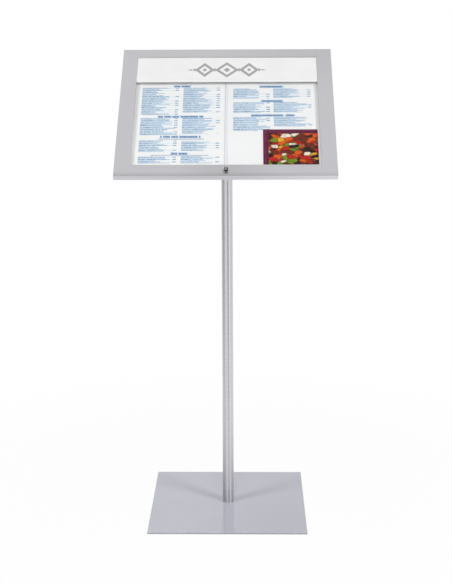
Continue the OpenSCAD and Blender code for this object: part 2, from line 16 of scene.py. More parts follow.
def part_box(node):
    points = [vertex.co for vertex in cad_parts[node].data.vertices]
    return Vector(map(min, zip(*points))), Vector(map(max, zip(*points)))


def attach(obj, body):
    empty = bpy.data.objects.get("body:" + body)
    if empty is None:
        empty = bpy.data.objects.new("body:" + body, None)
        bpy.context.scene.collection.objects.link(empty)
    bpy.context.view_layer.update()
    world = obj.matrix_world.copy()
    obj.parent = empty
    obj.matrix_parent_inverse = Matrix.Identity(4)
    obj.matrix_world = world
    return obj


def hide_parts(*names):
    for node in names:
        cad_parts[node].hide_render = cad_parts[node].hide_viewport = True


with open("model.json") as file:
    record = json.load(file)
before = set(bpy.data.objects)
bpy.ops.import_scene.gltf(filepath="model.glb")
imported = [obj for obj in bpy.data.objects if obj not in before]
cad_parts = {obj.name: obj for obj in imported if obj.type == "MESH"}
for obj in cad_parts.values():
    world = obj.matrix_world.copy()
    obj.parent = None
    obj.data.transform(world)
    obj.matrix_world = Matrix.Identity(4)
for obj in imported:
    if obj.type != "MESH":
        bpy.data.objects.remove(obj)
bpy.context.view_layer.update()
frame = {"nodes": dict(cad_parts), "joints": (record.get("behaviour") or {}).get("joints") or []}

MM = 0.001

# %% [markdown]
# The camera comes first, because it sets what can be seen. Like one that photographs a product, it has a
# long lens and stands a few metres away, a little above the object and turned slightly down. Its turn is
# written as three angles, as a tripod head has them: pitch, yaw and roll.

# %% Place the camera
camera_at = Vector((47.6, -2933.5, 1275.7)) * MM
pitch_down = math.radians(13.694)
yaw_left = math.radians(0.999)
roll = math.radians(0.281)
lens_mm = 75.07

camera_data = bpy.data.cameras.new("studio_camera")
camera_data.lens = lens_mm
camera_data.sensor_width = 36
camera = bpy.data.objects.new("studio_camera", camera_data)
bpy.context.scene.collection.objects.link(camera)
aim = (Matrix.Rotation(yaw_left, 4, "Z") @ Matrix.Rotation(math.radians(90) - pitch_down, 4, "X")
       @ Matrix.Rotation(-roll, 4, "Z"))
camera.matrix_world = Matrix.Translation(camera_at) @ aim
bpy.context.scene.camera = camera
print("camera at", tuple(round(c, 3) for c in camera_at))

# %% [markdown]
# Everything in the head lies square to the door, which slopes. It is easier to work in the case's own
# directions: x across, y up the slope, z out of the door's face, with zero in the middle of the face. The
# lock turns about an axis square to the door, so its axis gives the slope. The door's rails give the middle.

# %% Find the case's own directions
lock_joint = next(j for j in frame["joints"] if j["name"] == "lock_turn")
tilt = math.atan2(lock_joint["axis"][1], -lock_joint["axis"][2])
slope = Matrix.Rotation(tilt, 4, "X")


def span(points):
    """Lowest and highest corner of the box round some points."""
    sides = list(zip(*points))
    return Vector([min(side) for side in sides]), Vector([max(side) for side in sides])


def extent(node, turned_back):
    """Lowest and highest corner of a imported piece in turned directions."""
    return span(turned_back @ v.co for v in frame["nodes"][node].data.vertices)


bottom_low, bottom_high = extent("door_rail_bottom", slope.inverted())
top_low, top_high = extent("door_rail_top", slope.inverted())
case_place = slope @ Matrix.Translation((0, (bottom_low.y + top_high.y) / 2, bottom_high.z))


def case_box(node):
    """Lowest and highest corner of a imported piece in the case's own directions, in metres."""
    return extent(node, case_place.inverted())


case_w = case_box("door_rail_right")[1].x - case_box("door_rail_left")[0].x
case_l = top_high.y - bottom_low.y
case_depth = bottom_high.z - bottom_low.z
case_size = f"{case_w / MM:.1f} x {case_l / MM:.1f} x {case_depth / MM:.1f} mm"
print(f"case {case_size} at {math.degrees(tilt):.1f} degrees")

# %% [markdown]
# The pieces are modelled the way they would be by hand: a primitive is added, faces or edges are picked, and
# an operator pulls, insets or bevels them. The small helpers below keep each of those steps to one line.
# Selection is done in code, by a face's place and the way it points, because there is nobody to click.

# %% Helpers for modelling
TINY = 0.02 * MM
SHARP = math.radians(35)


def near(a, b):
    """True if two lengths are the same to a fiftieth of a millimetre."""
    return abs(a - b) < TINY


def select_nothing():
    """Leaves edit mode and deselects every object."""
    active = bpy.context.object
    if active and active.mode != "OBJECT":
        bpy.ops.object.mode_set(mode="OBJECT")
    bpy.ops.object.select_all(action="DESELECT")


def use(piece):
    """Selects one piece alone and makes it the active one."""
    select_nothing()
    piece.select_set(True)
    bpy.context.view_layer.objects.active = piece


def settle(name):
    """Names the new primitive and puts its place and size into its mesh."""
    piece = bpy.context.object
    piece.name = piece.data.name = name
    bpy.ops.object.transform_apply(location=True, rotation=True, scale=True)
    return piece


def block(name, low, high):
    """A box between two corners."""
    select_nothing()
    low, high = Vector(low), Vector(high)
    bpy.ops.mesh.primitive_cube_add(size=1, location=(low + high) / 2, scale=high - low)
    return settle(name)


def rod(name, radius, low, high, at=(0, 0), sides=64):
    """An upright cylinder from one height to another."""
    select_nothing()
    middle = (at[0], at[1], (low + high) / 2)
    bpy.ops.mesh.primitive_cylinder_add(vertices=sides, radius=radius, depth=high - low, location=middle)
    return settle(name)


def middle_of(item):
    """The middle of a face or an edge."""
    return sum((vert.co for vert in item.verts), Vector()) / len(item.verts)


def at_height(item, height):
    """True if a face or an edge lies level at a height."""
    return all(near(vert.co.z, height) for vert in item.verts)


def upright(edge):
    """True if an edge runs from one height to another."""
    return not at_height(edge, edge.verts[0].co.z)


def facing(direction, height):
    """A test for the level face at a height that points up (1) or down (-1)."""
    return lambda face: face.normal.z * direction > 0.9 and at_height(face, height)


def pick(piece, kind, wanted):
    """Opens edit mode and selects the VERT, EDGE or FACE items that pass a test."""
    if piece.mode != "EDIT":
        use(piece)
        bpy.ops.object.mode_set(mode="EDIT")
    bpy.ops.mesh.select_mode(type=kind)
    bpy.ops.mesh.select_all(action="DESELECT")
    shape = bmesh.from_edit_mesh(piece.data)
    items = {"VERT": shape.verts, "EDGE": shape.edges, "FACE": shape.faces}[kind]
    for item in items:
        if wanted(item):
            item.select_set(True)
    shape.select_flush_mode()
    bmesh.update_edit_mesh(piece.data)


def extrude(rise):
    """Pulls the selected faces up, or pushes them down if the rise is below zero."""
    bpy.ops.mesh.extrude_region_move(TRANSFORM_OT_translate={"value": (0, 0, rise)})


def pull(piece, wanted, rise):
    """Extrudes the faces that pass a test."""
    pick(piece, "FACE", wanted)
    extrude(rise)


def round_edges(piece, wanted, radius, segments):
    """Bevels the edges that pass a test."""
    pick(piece, "EDGE", wanted)
    bpy.ops.mesh.bevel(offset=radius, segments=segments, affect="EDGES")


def slice_through(piece, at, normal, cut_off=False):
    """Cuts a piece with a plane. cut_off drops what lies beyond it and closes the cut."""
    pick(piece, "FACE", lambda face: True)
    bpy.ops.mesh.bisect(plane_co=at, plane_no=normal, clear_outer=cut_off, use_fill=cut_off)


def modify(piece, kind, **settings):
    """Adds one modifier with its settings and applies it."""
    use(piece)
    modifier = piece.modifiers.new(kind.lower(), kind)
    for key, value in settings.items():
        setattr(modifier, key, value)
    bpy.ops.object.modifier_apply(modifier=modifier.name)


def carve(piece, tool, operation="DIFFERENCE"):
    """Cuts one piece with another, which is used up."""
    modify(piece, "BOOLEAN", object=tool, operation=operation, solver="EXACT")
    bpy.data.objects.remove(tool)


def soften(piece, width, segments=3):
    """Rounds every sharp edge by a small width and shades the rest flat."""
    use(piece)
    bpy.ops.object.mode_set(mode="EDIT")
    bpy.ops.mesh.select_all(action="SELECT")
    bpy.ops.mesh.remove_doubles(threshold=TINY / 4)
    bpy.ops.mesh.normals_make_consistent(inside=False)
    bpy.ops.object.mode_set(mode="OBJECT")
    bpy.ops.object.shade_smooth()
    modify(piece, "BEVEL", width=width, segments=segments, limit_method="ANGLE", angle_limit=SHARP,
           harden_normals=True)


pieces = {}


def hand_over(piece, node, body, place=None):
    """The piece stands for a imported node, moves with its body and takes its slot's finish.

    place is a matrix that takes the finished piece from where it was modelled to where it belongs.
    """
    if place is not None:
        use(piece)
        piece.matrix_world = place
        bpy.ops.object.transform_apply(location=True, rotation=True, scale=True)
    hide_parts(node)
    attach(piece, body)
    corners = zip(span(v.co for v in piece.data.vertices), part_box(node))
    off = max(abs(side) for own, packed in corners for side in own - packed)
    print(f"{piece.name}: {len(piece.data.polygons)} faces, off the packed box by {off / MM:.2f} mm")
    pieces[node] = piece


# %% [markdown]
# The base plate is a square of sheet steel, a few millimetres thick, with a powder coat. A laser or a shear
# cuts such a plate, and its edges are broken before the coat goes on, so the coat wraps a small radius. The
# upright corners get their own larger bevel first, and the fine one then follows them round.

# %% Model the base plate
plate_low, plate_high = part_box("base_plate")
plate_corner_r = 2 * MM
plate_edge_r = 0.6 * MM
bolt_hole_r = 4.05 * MM

plate = block("base_plate_coated", plate_low, plate_high)
round_edges(plate, upright, plate_corner_r, 4)
carve(plate, rod("drill", bolt_hole_r, plate_low.z - MM, plate_high.z + MM, sides=32))
soften(plate, plate_edge_r)
hand_over(plate, "base_plate", "stand")

# %% [markdown]
# The pole is a steel tube with a two-millimetre wall. A cylinder primitive is a solid bar, so both ends are
# inset by the wall, their inner faces deleted, and the two rings that stay are bridged. That makes the true
# inner wall, which shows where the tube ends below the case. Two holes at the back take the set screws.

# %% Model the pole
pole_low, pole_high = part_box("pole_tube")
pole_r = (pole_high.x - pole_low.x) / 2
pole_wall = 2 * MM
pole_rim_r = 0.4 * MM
set_screw_hole_r = 3.05 * MM

pole = rod("pole_brushed", pole_r, pole_low.z, pole_high.z, sides=96)
pick(pole, "FACE", lambda face: abs(face.normal.z) > 0.9)
bpy.ops.mesh.inset(thickness=pole_wall, use_individual=True)
bpy.ops.mesh.delete(type="FACE")
pick(pole, "EDGE", lambda edge: edge.is_boundary)
bpy.ops.mesh.bridge_edge_loops()
screw_low, screw_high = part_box("set_screws")
for height in (screw_low.z + set_screw_hole_r, screw_high.z - set_screw_hole_r):
    select_nothing()
    bpy.ops.mesh.primitive_cylinder_add(vertices=32, radius=set_screw_hole_r, depth=pole_r,
                                        location=(0, pole_r, height), rotation=(math.radians(90), 0, 0))
    carve(pole, settle("drill"))
soften(pole, pole_rim_r, segments=2)
hand_over(pole, "pole_tube", "stand")

# %% [markdown]
# The door is four lengths of one drawn aluminium section, mitred at the corners. The section could be drawn
# as an outline and swept, but a bar shows better how the shape comes about: it is sliced along its length,
# and the strips between the slices are pushed in or pulled out to make the outer wall, the hollow, the web
# beside the pane and the lip that slopes down to the window. The bar starts too long. Two slanting cuts then
# take off both ends, from the case's corner to the window's corner, and leave the mitres.

# %% Model one door rail
side_rail_w = case_box("door_rail_left")[1].x - case_box("door_rail_left")[0].x
top_rail_w = top_high.y - top_low.y
bottom_rail_w = bottom_high.y - bottom_low.y
face_t = 2 * MM
wall_t = 2 * MM
bevel_share = 5.5 * MM / side_rail_w
bevel_drop = 2.5 * MM
lip_e = 3.2 * MM
rebate_w = 8 * MM
web_t = 1.6 * MM
web_e = 6.3 * MM
rail_edge_r = 0.3 * MM
outer_edge_r = 1.1 * MM
case_corner_r = 2.5 * MM
lock_hole_r = 5.05 * MM
lock_y = (case_place.inverted() @ Vector(lock_joint["pos_m"])).y


def case_outline(length, reach):
    """A block with the case's rounded corners, to trim a rail that lies along x."""
    outline = block("outline", (-length / 2, 0, -case_depth - MM), (length / 2, 2 * reach, MM))
    round_edges(outline, upright, case_corner_r, 5)
    return outline


def door_rail(name, length, reach, rail_w, left_w, right_w):
    """A mitred rail along x with its outer edge on y = 0 and its face on z = 0."""
    spare = 5 * MM
    web_in = rail_w - rebate_w
    bevel_at = rail_w * (1 - bevel_share)
    bar = block(name, (-length / 2 - spare, 0, -lip_e), (length / 2 + spare, rail_w, 0))
    for y in (wall_t, web_in - web_t, web_in, bevel_at):
        slice_through(bar, (0, y, 0), (0, 1, 0))

    def underside(y_low, y_high):
        return lambda face: facing(-1, -lip_e)(face) and y_low < middle_of(face).y < y_high

    pull(bar, underside(wall_t, web_in - web_t), lip_e - face_t)
    pull(bar, underside(0, wall_t), lip_e - case_depth)
    pull(bar, underside(web_in - web_t, web_in), lip_e - web_e)
    pick(bar, "VERT", lambda vert: near(vert.co.y, rail_w) and near(vert.co.z, 0))
    bpy.ops.transform.translate(value=(0, 0, -bevel_drop))
    round_edges(bar, lambda edge: near(middle_of(edge).y, 0) and at_height(edge, 0), outer_edge_r, 5)
    slice_through(bar, (-length / 2, 0, 0), (-rail_w, left_w, 0), cut_off=True)
    slice_through(bar, (length / 2, 0, 0), (rail_w, right_w, 0), cut_off=True)
    carve(bar, case_outline(length, reach), "INTERSECT")
    return bar


# %% Model the four rails
# Each row gives the piece, its length, the middle's distance, its width and its left and right neighbour's
RAILS = (
    ("bottom", case_w, case_l / 2, bottom_rail_w, side_rail_w, side_rail_w),
    ("right", case_l, case_w / 2, side_rail_w, bottom_rail_w, top_rail_w),
    ("top", case_w, case_l / 2, top_rail_w, side_rail_w, side_rail_w),
    ("left", case_l, case_w / 2, side_rail_w, top_rail_w, bottom_rail_w),
)
for quarter, (side, length, reach, rail_w, left_w, right_w) in enumerate(RAILS):
    rail = door_rail("door_rail_" + side + "_mitred", length, reach, rail_w, left_w, right_w)
    if side == "bottom":
        lock_from_edge = lock_y + case_l / 2
        carve(rail, rod("drill", lock_hole_r, -case_depth, MM, at=(0, lock_from_edge), sides=48))
    soften(rail, rail_edge_r)
    around = Matrix.Rotation(math.radians(90) * quarter, 4, "Z") @ Matrix.Translation((0, -reach, 0))
    hand_over(rail, "door_rail_" + side, "door", case_place @ around)

# %% [markdown]
# The pane is clear acrylic, cut on a router with its edges flame-polished, so it gets a fine round edge. The
# header is a thin white sheet that is bonded to the front of the pane and moves with the door. Its back is
# lifted off the pane by a hair, because two faces in one plane would flicker. The pages are thin sheets in
# sleeves. Paper never lies quite flat: a patch of each page is lifted a little with proportional editing,
# which moves the points round it less and less, as a hand would lift the sheet.

# %% Model the header, the pane and the divider
sheet_edge_r = 0.25 * MM
divider_edge_r = 0.5 * MM
header_edge_r = 0.08 * MM
bond_gap = 0.02 * MM


def case_sheet(name, node, body, edge_r, back_gap=0.0):
    """A flat sheet in the case with rounded edges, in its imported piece's place."""
    low, high = case_box(node)
    sheet = block(name, low + Vector((0, 0, back_gap)), high)
    round_edges(sheet, upright, 3 * edge_r, 3)
    soften(sheet, edge_r, segments=2)
    hand_over(sheet, node, body, case_place)


case_sheet("header_sheet", "header_panel", "door", header_edge_r, bond_gap)
case_sheet("pane_clear", "door_pane", "door", sheet_edge_r)
case_sheet("divider_plastic", "divider_strip", "stand", divider_edge_r)

# %% Model the two pages
page_lift = 0.6 * MM
page_lift_spot = 16 * MM
page_lift_reach = 70 * MM
page_columns = 10
page_rows = 14
page_corner_r = 1.5 * MM


def page(side, lifted_at):
    """A thin sheet with small round corners, lifted a little near one place on its lower half."""
    node = "page_" + side
    low, high = case_box(node)
    sheet = block("menu_page_" + side, low, high)
    round_edges(sheet, upright, page_corner_r, 3)
    for i in range(1, page_columns):
        slice_through(sheet, (low.x + (high.x - low.x) * i / page_columns, 0, 0), (1, 0, 0))
    for i in range(1, page_rows):
        slice_through(sheet, (0, low.y + (high.y - low.y) * i / page_rows, 0), (0, 1, 0))
    spot = Vector((low.x + (high.x - low.x) * lifted_at[0], low.y + (high.y - low.y) * lifted_at[1], high.z))
    pick(sheet, "VERT", lambda vert: (vert.co - spot).length < page_lift_spot)
    bpy.ops.transform.translate(value=(0, 0, page_lift), use_proportional_edit=True,
                                proportional_edit_falloff="SMOOTH", proportional_size=page_lift_reach)
    use(sheet)
    bpy.ops.object.shade_smooth_by_angle(angle=SHARP)
    hand_over(sheet, node, "stand", case_place)


page("left", (0.3, 0.25))
page("right", (0.35, 0.3))

# %% [markdown]
# The lock is a round chromed head with a plug that turns in it. The plug's face has a keyway in the shape of
# a ring, which leaves a bright post in the middle. The housing is one turned part, so it starts as a short
# cylinder whose back is inset and pulled out to the threaded body. The bore is left open by deleting the two
# end faces and bridging their rims. The plug starts the same way, and the ring is sunk into its face.

# %% Model the lock's housing
housing_low, housing_high = case_box("lock_housing")
bezel_r = (housing_high.x - housing_low.x) / 2
bezel_t = housing_high.z
lock_body_r = 5 * MM
plug_low, plug_high = case_box("lock_plug")
plug_head_r = (plug_high.x - plug_low.x) / 2
plug_r = 3.6 * MM
plug_head_t = 4 * MM
plug_neck = plug_high.z - plug_head_t
fit = 0.05 * MM
lock_edge_r = 0.125 * MM
bezel_edge_r = 0.9 * MM
lock_place = case_place @ Matrix.Translation((0, lock_y, 0))

housing = rod("lock_head", bezel_r, 0, bezel_t)
round_edges(housing, lambda edge: at_height(edge, bezel_t), bezel_edge_r, 4)
pick(housing, "FACE", facing(1, bezel_t))
bpy.ops.mesh.inset(thickness=bezel_r - bezel_edge_r - plug_head_r - fit)
extrude(plug_neck - fit - bezel_t)
bpy.ops.mesh.inset(thickness=plug_head_r - plug_r)
bpy.ops.mesh.delete(type="FACE")
pick(housing, "FACE", facing(-1, 0))
bpy.ops.mesh.inset(thickness=bezel_r - lock_body_r)
extrude(housing_low.z)
bpy.ops.mesh.inset(thickness=lock_body_r - plug_r - fit)
bpy.ops.mesh.delete(type="FACE")
pick(housing, "EDGE", lambda edge: edge.is_boundary)
bpy.ops.mesh.bridge_edge_loops()
soften(housing, lock_edge_r, segments=2)
hand_over(housing, "lock_housing", "door", lock_place)

# %% Model the lock's plug
keyway_r = 4.1 * MM
keyway_w = 1.6 * MM
keyway_deep = 3 * MM
notch_w = 1.4 * MM
notch_reach = 0.4 * MM

plug = rod("lock_plug_turned", plug_head_r, plug_neck, plug_high.z)
pick(plug, "FACE", facing(-1, plug_neck))
bpy.ops.mesh.inset(thickness=plug_head_r - plug_r)
extrude(plug_low.z - plug_neck)
pick(plug, "FACE", facing(1, plug_high.z))
bpy.ops.mesh.inset(thickness=plug_head_r - keyway_r)
bpy.ops.mesh.inset(thickness=keyway_w)
pull(plug, lambda face: facing(1, plug_high.z)(face)
     and keyway_r - keyway_w < middle_of(face).to_2d().length < keyway_r, -keyway_deep)
notch = block("notch", (-notch_w / 2, keyway_r - keyway_w / 2, plug_high.z - keyway_deep),
              (notch_w / 2, keyway_r + notch_reach, plug_high.z + MM))
carve(plug, notch)
soften(plug, lock_edge_r, segments=2)
hand_over(plug, "lock_plug", "lock", lock_place)

# %% [markdown]
# From behind, the bracket plate shows most. It is a thick plate with the same coat as the base, so it gets
# the same treatment: small upright corners, a softened edge, and the four holes its screws pass through.

# %% Model the bracket plate
bracket_corner_r = 2 * MM
bracket_edge_r = 0.5 * MM
bracket_hole_r = 2.55 * MM
bracket_screw_head_r = 4.6 * MM

bracket_low, bracket_high = case_box("bracket_plate")
bracket = block("bracket_plate_coated", bracket_low, bracket_high)
round_edges(bracket, upright, bracket_corner_r, 4)
screws_low, screws_high = case_box("bracket_screws")
for x in (screws_low.x + bracket_screw_head_r, screws_high.x - bracket_screw_head_r):
    for y in (screws_low.y + bracket_screw_head_r, screws_high.y - bracket_screw_head_r):
        drill = rod("drill", bracket_hole_r, bracket_low.z - MM, bracket_high.z + MM, at=(x, y), sides=32)
        carve(bracket, drill)
soften(bracket, bracket_edge_r)
hand_over(bracket, "bracket_plate", "stand", case_place)

# %% [markdown]
# Finishes are node trees. Wiring them by hand in code gets long, so a socket is wrapped in a small class
# whose operators add Math nodes: an expression such as 1 - mask * 0.2 then reads as it would on paper. All
# other nodes come from one method that takes the node's kind, its settings and its sockets, and one more
# ends each tree: it takes the colour, the roughness, the bump's height and the real size of that height.

# %% Helpers for finishes
def math_method(operation, swapped=False):
    """A method that adds one Math node. The wire is its first value or, swapped, its last."""
    def method(wire, *others):
        values = (*others, wire) if swapped else (wire, *others)
        return wire.math(operation, *values)

    return method


class Wire:
    """The output of a node. Arithmetic on it adds Math nodes to the same tree."""

    def __init__(self, finish, socket):
        self.finish = finish
        self.socket = socket

    def math(self, operation, *values):
        return self.finish.node("Math", {"operation": operation}, dict(enumerate(values)))

    __add__ = math_method("ADD")
    __radd__ = math_method("ADD", swapped=True)
    __sub__ = math_method("SUBTRACT")
    __rsub__ = math_method("SUBTRACT", swapped=True)
    __mul__ = math_method("MULTIPLY")
    __rmul__ = math_method("MULTIPLY", swapped=True)
    __truediv__ = math_method("DIVIDE")
    __pow__ = math_method("POWER")
    __gt__ = math_method("GREATER_THAN")
    __lt__ = math_method("LESS_THAN")
    __abs__ = math_method("ABSOLUTE")
    floor = math_method("FLOOR")
    fraction = math_method("FRACT")
    either = math_method("MAXIMUM")

    def steps(self, pitch):
        """The number of the step a value is on, and how far along that step it is, from 0 to 1."""
        scaled = self / pitch
        return scaled.floor(), scaled.fraction()

    def within(self, low, high):
        """1 between two values and 0 outside them."""
        return (self > low) * (self < high)

    def fade(self, start, end):
        """Rises smoothly from 0 at start to 1 at end."""
        settings = {"interpolation_type": "SMOOTHSTEP"}
        return self.finish.node("MapRange", settings, {0: self, 1: start, 2: end})


class Finish:
    """A node tree in the making, for a material or a world."""

    def __init__(self, owner):
        self.owner = owner
        owner.use_nodes = True
        self.tree = owner.node_tree
        self.tree.nodes.clear()

    def node(self, kind, settings=None, sockets=None, out=0):
        """Adds a node: its settings are set first, then its sockets get values or wires."""
        made = self.tree.nodes.new("ShaderNode" + kind)
        for key, value in (settings or {}).items():
            setattr(made, key, value)
        for key, value in (sockets or {}).items():
            if isinstance(value, Wire):
                self.tree.links.new(value.socket, made.inputs[key])
            else:
                made.inputs[key].default_value = value
        return Wire(self, made.outputs[out]) if made.outputs else None

    def mix(self, share, first, second):
        """A colour between two colours."""
        return self.node("Mix", {"data_type": "RGBA"}, {0: share, 6: first, 7: second}, out=2)

    def place(self, scale=(1, 1, 1), turn=(0, 0, 0), move=(0, 0, 0)):
        """Object coordinates through a Mapping node, as a vector."""
        at = self.node("TexCoord", out=3)
        return self.node("Mapping", None, {"Vector": at, "Location": move, "Rotation": turn, "Scale": scale})

    def split(self, vector):
        """The three parts of a vector."""
        parts = self.node("SeparateXYZ", None, {0: vector})
        return [Wire(self, output) for output in parts.socket.node.outputs]

    def noise(self, vector, scale, detail=3, roughness=0.5):
        """Cloudy noise from 0 to 1."""
        return self.node("TexNoise", None, {"Vector": vector, "Scale": scale, "Detail": detail,
                                            "Roughness": roughness})

    def chance(self, *values):
        """A random number from 0 to 1 for each set of whole numbers."""
        key = self.node("CombineXYZ", None, dict(enumerate(values)))
        return self.node("TexWhiteNoise", {"noise_dimensions": "3D"}, {"Vector": key})

    def end(self, shader):
        """Puts a shader on the surface. The tree is then complete."""
        self.node("OutputMaterial", None, {"Surface": shader})
        return self.owner

    def surface(self, colour, roughness, height=None, distance=0.0, **others):
        """Ends the tree with a Principled shader. A height of 1 in its bump stands for the distance.

        Other sockets are given by their names, with _ for a space.
        """
        sockets = {"Base Color": colour, "Roughness": roughness}
        if height is not None:
            bump = {"Height": height, "Distance": distance, "Strength": 1}
            sockets["Normal"] = self.node("Bump", None, bump)
        sockets.update({name.replace("_", " "): value for name, value in others.items()})
        return self.end(self.node("BsdfPrincipled", None, sockets))


def new_finish(name):
    return Finish(bpy.data.materials.new(name))


def paint(red, green, blue):
    """A colour from 0 to 255, as a paint chart gives it, made linear for a shader."""
    def linear(value):
        value /= 255
        return value / 12.92 if value <= 0.04045 else ((value + 0.055) / 1.055) ** 2.4

    return (linear(red), linear(green), linear(blue), 1)


def shaded(colour, factor):
    """A colour made a little lighter or darker."""
    return tuple(channel * factor for channel in colour[:3]) + (1,)


def dress(material, *nodes):
    """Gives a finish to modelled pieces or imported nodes, by the node's name."""
    for node in nodes:
        piece = pieces.get(node, frame["nodes"][node])
        piece.data.materials.clear()
        piece.data.materials.append(material)
    print(material.name, "on", ", ".join(nodes))


# %% [markdown]
# Powder coat is plastic powder baked on to steel. It flows into a fine orange peel, and a silver one holds
# tiny metal flakes. The colour shifts a little over the plate, and the coat is smooth enough to mirror the
# pole softly. Bump gives the peel, and two noises of very different size give the flakes and the drift.

# %% Powder coat for the base and the bracket
coat_colour = paint(196, 197, 208)


def powder_coat():
    coat = new_finish("silver_powder_coat")
    at = coat.place()
    x, y, z = coat.split(at)
    drift = coat.noise(at, 7, detail=2)
    flakes = coat.noise(at, 2600, detail=1)
    colour = coat.mix(drift.fade(0.3, 0.7), shaded(coat_colour, 0.97), shaded(coat_colour, 1.02))
    colour = coat.mix(flakes.fade(0.55, 0.75) * 0.18, colour, shaded(coat_colour, 1.25))
    # Painted shade makes the coat a little darker to the right, and painted light makes it a little lighter
    # towards the back
    colour = coat.mix(x.fade(-0.15, 0.15), colour, shaded(coat_colour, 0.9))
    colour = coat.mix(y.fade(-0.2, 0.2) * 0.6, colour, shaded(coat_colour, 1.08))
    # Its cut edges get painted shade
    colour = coat.mix(z < plate_high.z - plate_edge_r, colour, shaded(coat_colour, 0.58))
    peel = coat.noise(at, 420, detail=2)
    wipes = coat.noise(coat.place((18, 60, 18), turn=(0, 0, 0.5)), 1, detail=3)
    return coat.surface(colour, 0.09 + wipes.fade(0.35, 0.75) * 0.05, peel, 0.006 * MM, IOR=1.5)


dress(powder_coat(), "base_plate", "bracket_plate")

# %% [markdown]
# The pole's tube is polished with a belt that runs round it. The scratches go round too, and they smear what
# the metal mirrors up and down the tube, so that a lamp becomes a long streak. That is anisotropy: one
# roughness along the scratches and a larger one across them. Fine rings in the bump and in the roughness
# keep the streaks from looking drawn with a ruler.

# %% Brushed steel for the pole
steel_colour = paint(226, 225, 229)
# Where the two painted highlight lines at the pole's foot lie
gleam_lines_middle = 1.6 * MM
gleam_lines_apart = 7 * MM


def brushed_steel():
    steel = new_finish("brushed_tube_steel")
    rings = steel.noise(steel.place((20, 20, 5200)), 1, detail=2)
    bands = steel.noise(steel.place((6, 6, 90)), 1, detail=3)
    colour = steel.mix(rings.fade(0.3, 0.7), shaded(steel_colour, 0.95), shaded(steel_colour, 1.03))
    # The upper end is painted brighter, as painted light
    x, _, z = steel.split(steel.place())
    colour = steel.mix(z.fade(0.55, 0.95), colour, shaded(steel_colour, 1.08))
    # Towards the foot the tube gets painted shade, most of all on its left side, but for two painted
    # highlight lines in front
    foot = 1 - z.fade(0.02, 0.34)
    side = abs(x).fade(0.3 * pole_r, 0.95 * pole_r) * (1 - 0.35 * x.fade(-MM, MM))
    painted_gleam = 1 - abs(abs(x - gleam_lines_middle) - gleam_lines_apart / 2).fade(0.8 * MM, 1.9 * MM)
    wear_and_painted_shade = (side * foot).either(0.62 - 0.62 * z.fade(0.005, 0.05)) * (1 - painted_gleam)
    colour = steel.mix(wear_and_painted_shade, colour, shaded(steel_colour, 0.63))
    colour = steel.mix(painted_gleam * foot, colour, shaded(steel_colour, 1.12))
    return steel.surface(colour, 0.34 + bands.fade(0.3, 0.75) * 0.04, rings, 0.002 * MM,
                         Metallic=1.0, Anisotropic=0.92, Anisotropic_Rotation=0.25)


dress(brushed_steel(), "pole_tube")

# %% [markdown]
# Anodised aluminium is etched before it is dipped, so it is matt silver with a very fine grain that follows
# the direction it was drawn in. The two upright rails and the two level ones were drawn along their own
# length. The grain is turned with the rail for that reason, and the case's slope is taken out first. The
# painted shade and light, and a darker patch round the lock, depend on the place, which case_vector gives in
# the case's own directions.

# %% Anodised aluminium for the door and the tray
anodised_colour = paint(214, 213, 217)
half_w, half_l = case_w / 2 / MM, case_l / 2 / MM


def case_vector(finish):
    """Millimetres across, up the slope and out of the door's face."""
    move = case_place.inverted().to_translation() / MM
    return finish.place((1 / MM, 1 / MM, 1 / MM), turn=(-tilt, 0, 0), move=move)


def anodised(name, grain, tone):
    """grain is the scale of the noise along x and up the slope: a small number gives long streaks."""
    metal = new_finish(name)
    x, y, z = metal.split(case_vector(metal))
    streaks = metal.noise(metal.place((*grain, 900), turn=(-tilt, 0, 0)), 1, detail=3)
    at = metal.place()
    drift = metal.noise(at, 5, detail=2)
    etch = metal.noise(at, 3800, detail=1)
    silver = shaded(anodised_colour, tone)
    colour = metal.mix(streaks.fade(0.25, 0.75), shaded(silver, 0.965), shaded(silver, 1.015))
    colour = metal.mix(drift.fade(0.3, 0.7) * 0.5, colour, shaded(silver, 0.975))
    # The face is painted a shade darker towards its upper right corner
    colour = metal.mix(x.fade(-60, 250) * y.fade(20, 200), colour, shaded(silver, 0.92))
    # Its lower edge gets painted shade, less of it on the right
    painted_edge_shade = (1 - y.fade(2 - half_l, 14 - half_l)) * (z > -1) * (1 - 0.4 * x.fade(60, 250))
    colour = metal.mix(painted_edge_shade, colour, shaded(silver, 0.84))
    # The face is a little darker round the lock
    darker_round_lock = (1 - abs(x).fade(5, 130)) * (1 - y.fade(46 - half_l, 50 - half_l))
    colour = metal.mix(darker_round_lock * 0.1, colour, paint(0, 0, 0))
    # The outer walls are painted lighter than the face, more so towards the right, as painted light
    wall = (abs(x) > half_w - 0.4).either(abs(y) > half_l - 0.4) * (z < -1)
    painted_wall_light = metal.mix(x.fade(-150, 150), shaded(silver, 1.04), shaded(silver, 1.16))
    colour = metal.mix(wall, colour, painted_wall_light)
    return metal.surface(colour, 0.4 + streaks * 0.06, streaks * 0.6 + etch * 0.4, 0.004 * MM, Metallic=1.0)


# The level rails' copy gets a painted shade, a little darker than the upright rails'
across = anodised("anodised_drawn_across", (9, 1500), 0.99)
up_slope = anodised("anodised_drawn_up_the_slope", (1500, 9), 1.0)
dress(across, "door_rail_top", "door_rail_bottom", "tray_rail_top", "tray_rail_bottom")
dress(up_slope, "door_rail_left", "door_rail_right", "tray_rail_left", "tray_rail_right")

# %% [markdown]
# The sheet parts inside the case are aluminium with a pale lacquer: the back panel and the ledge that the
# pages stand on. Rolling leaves long faint lines in the sheet, and they still show through the lacquer.

# %% Rolled sheet for the panel
sheet_colour = paint(254, 254, 255)


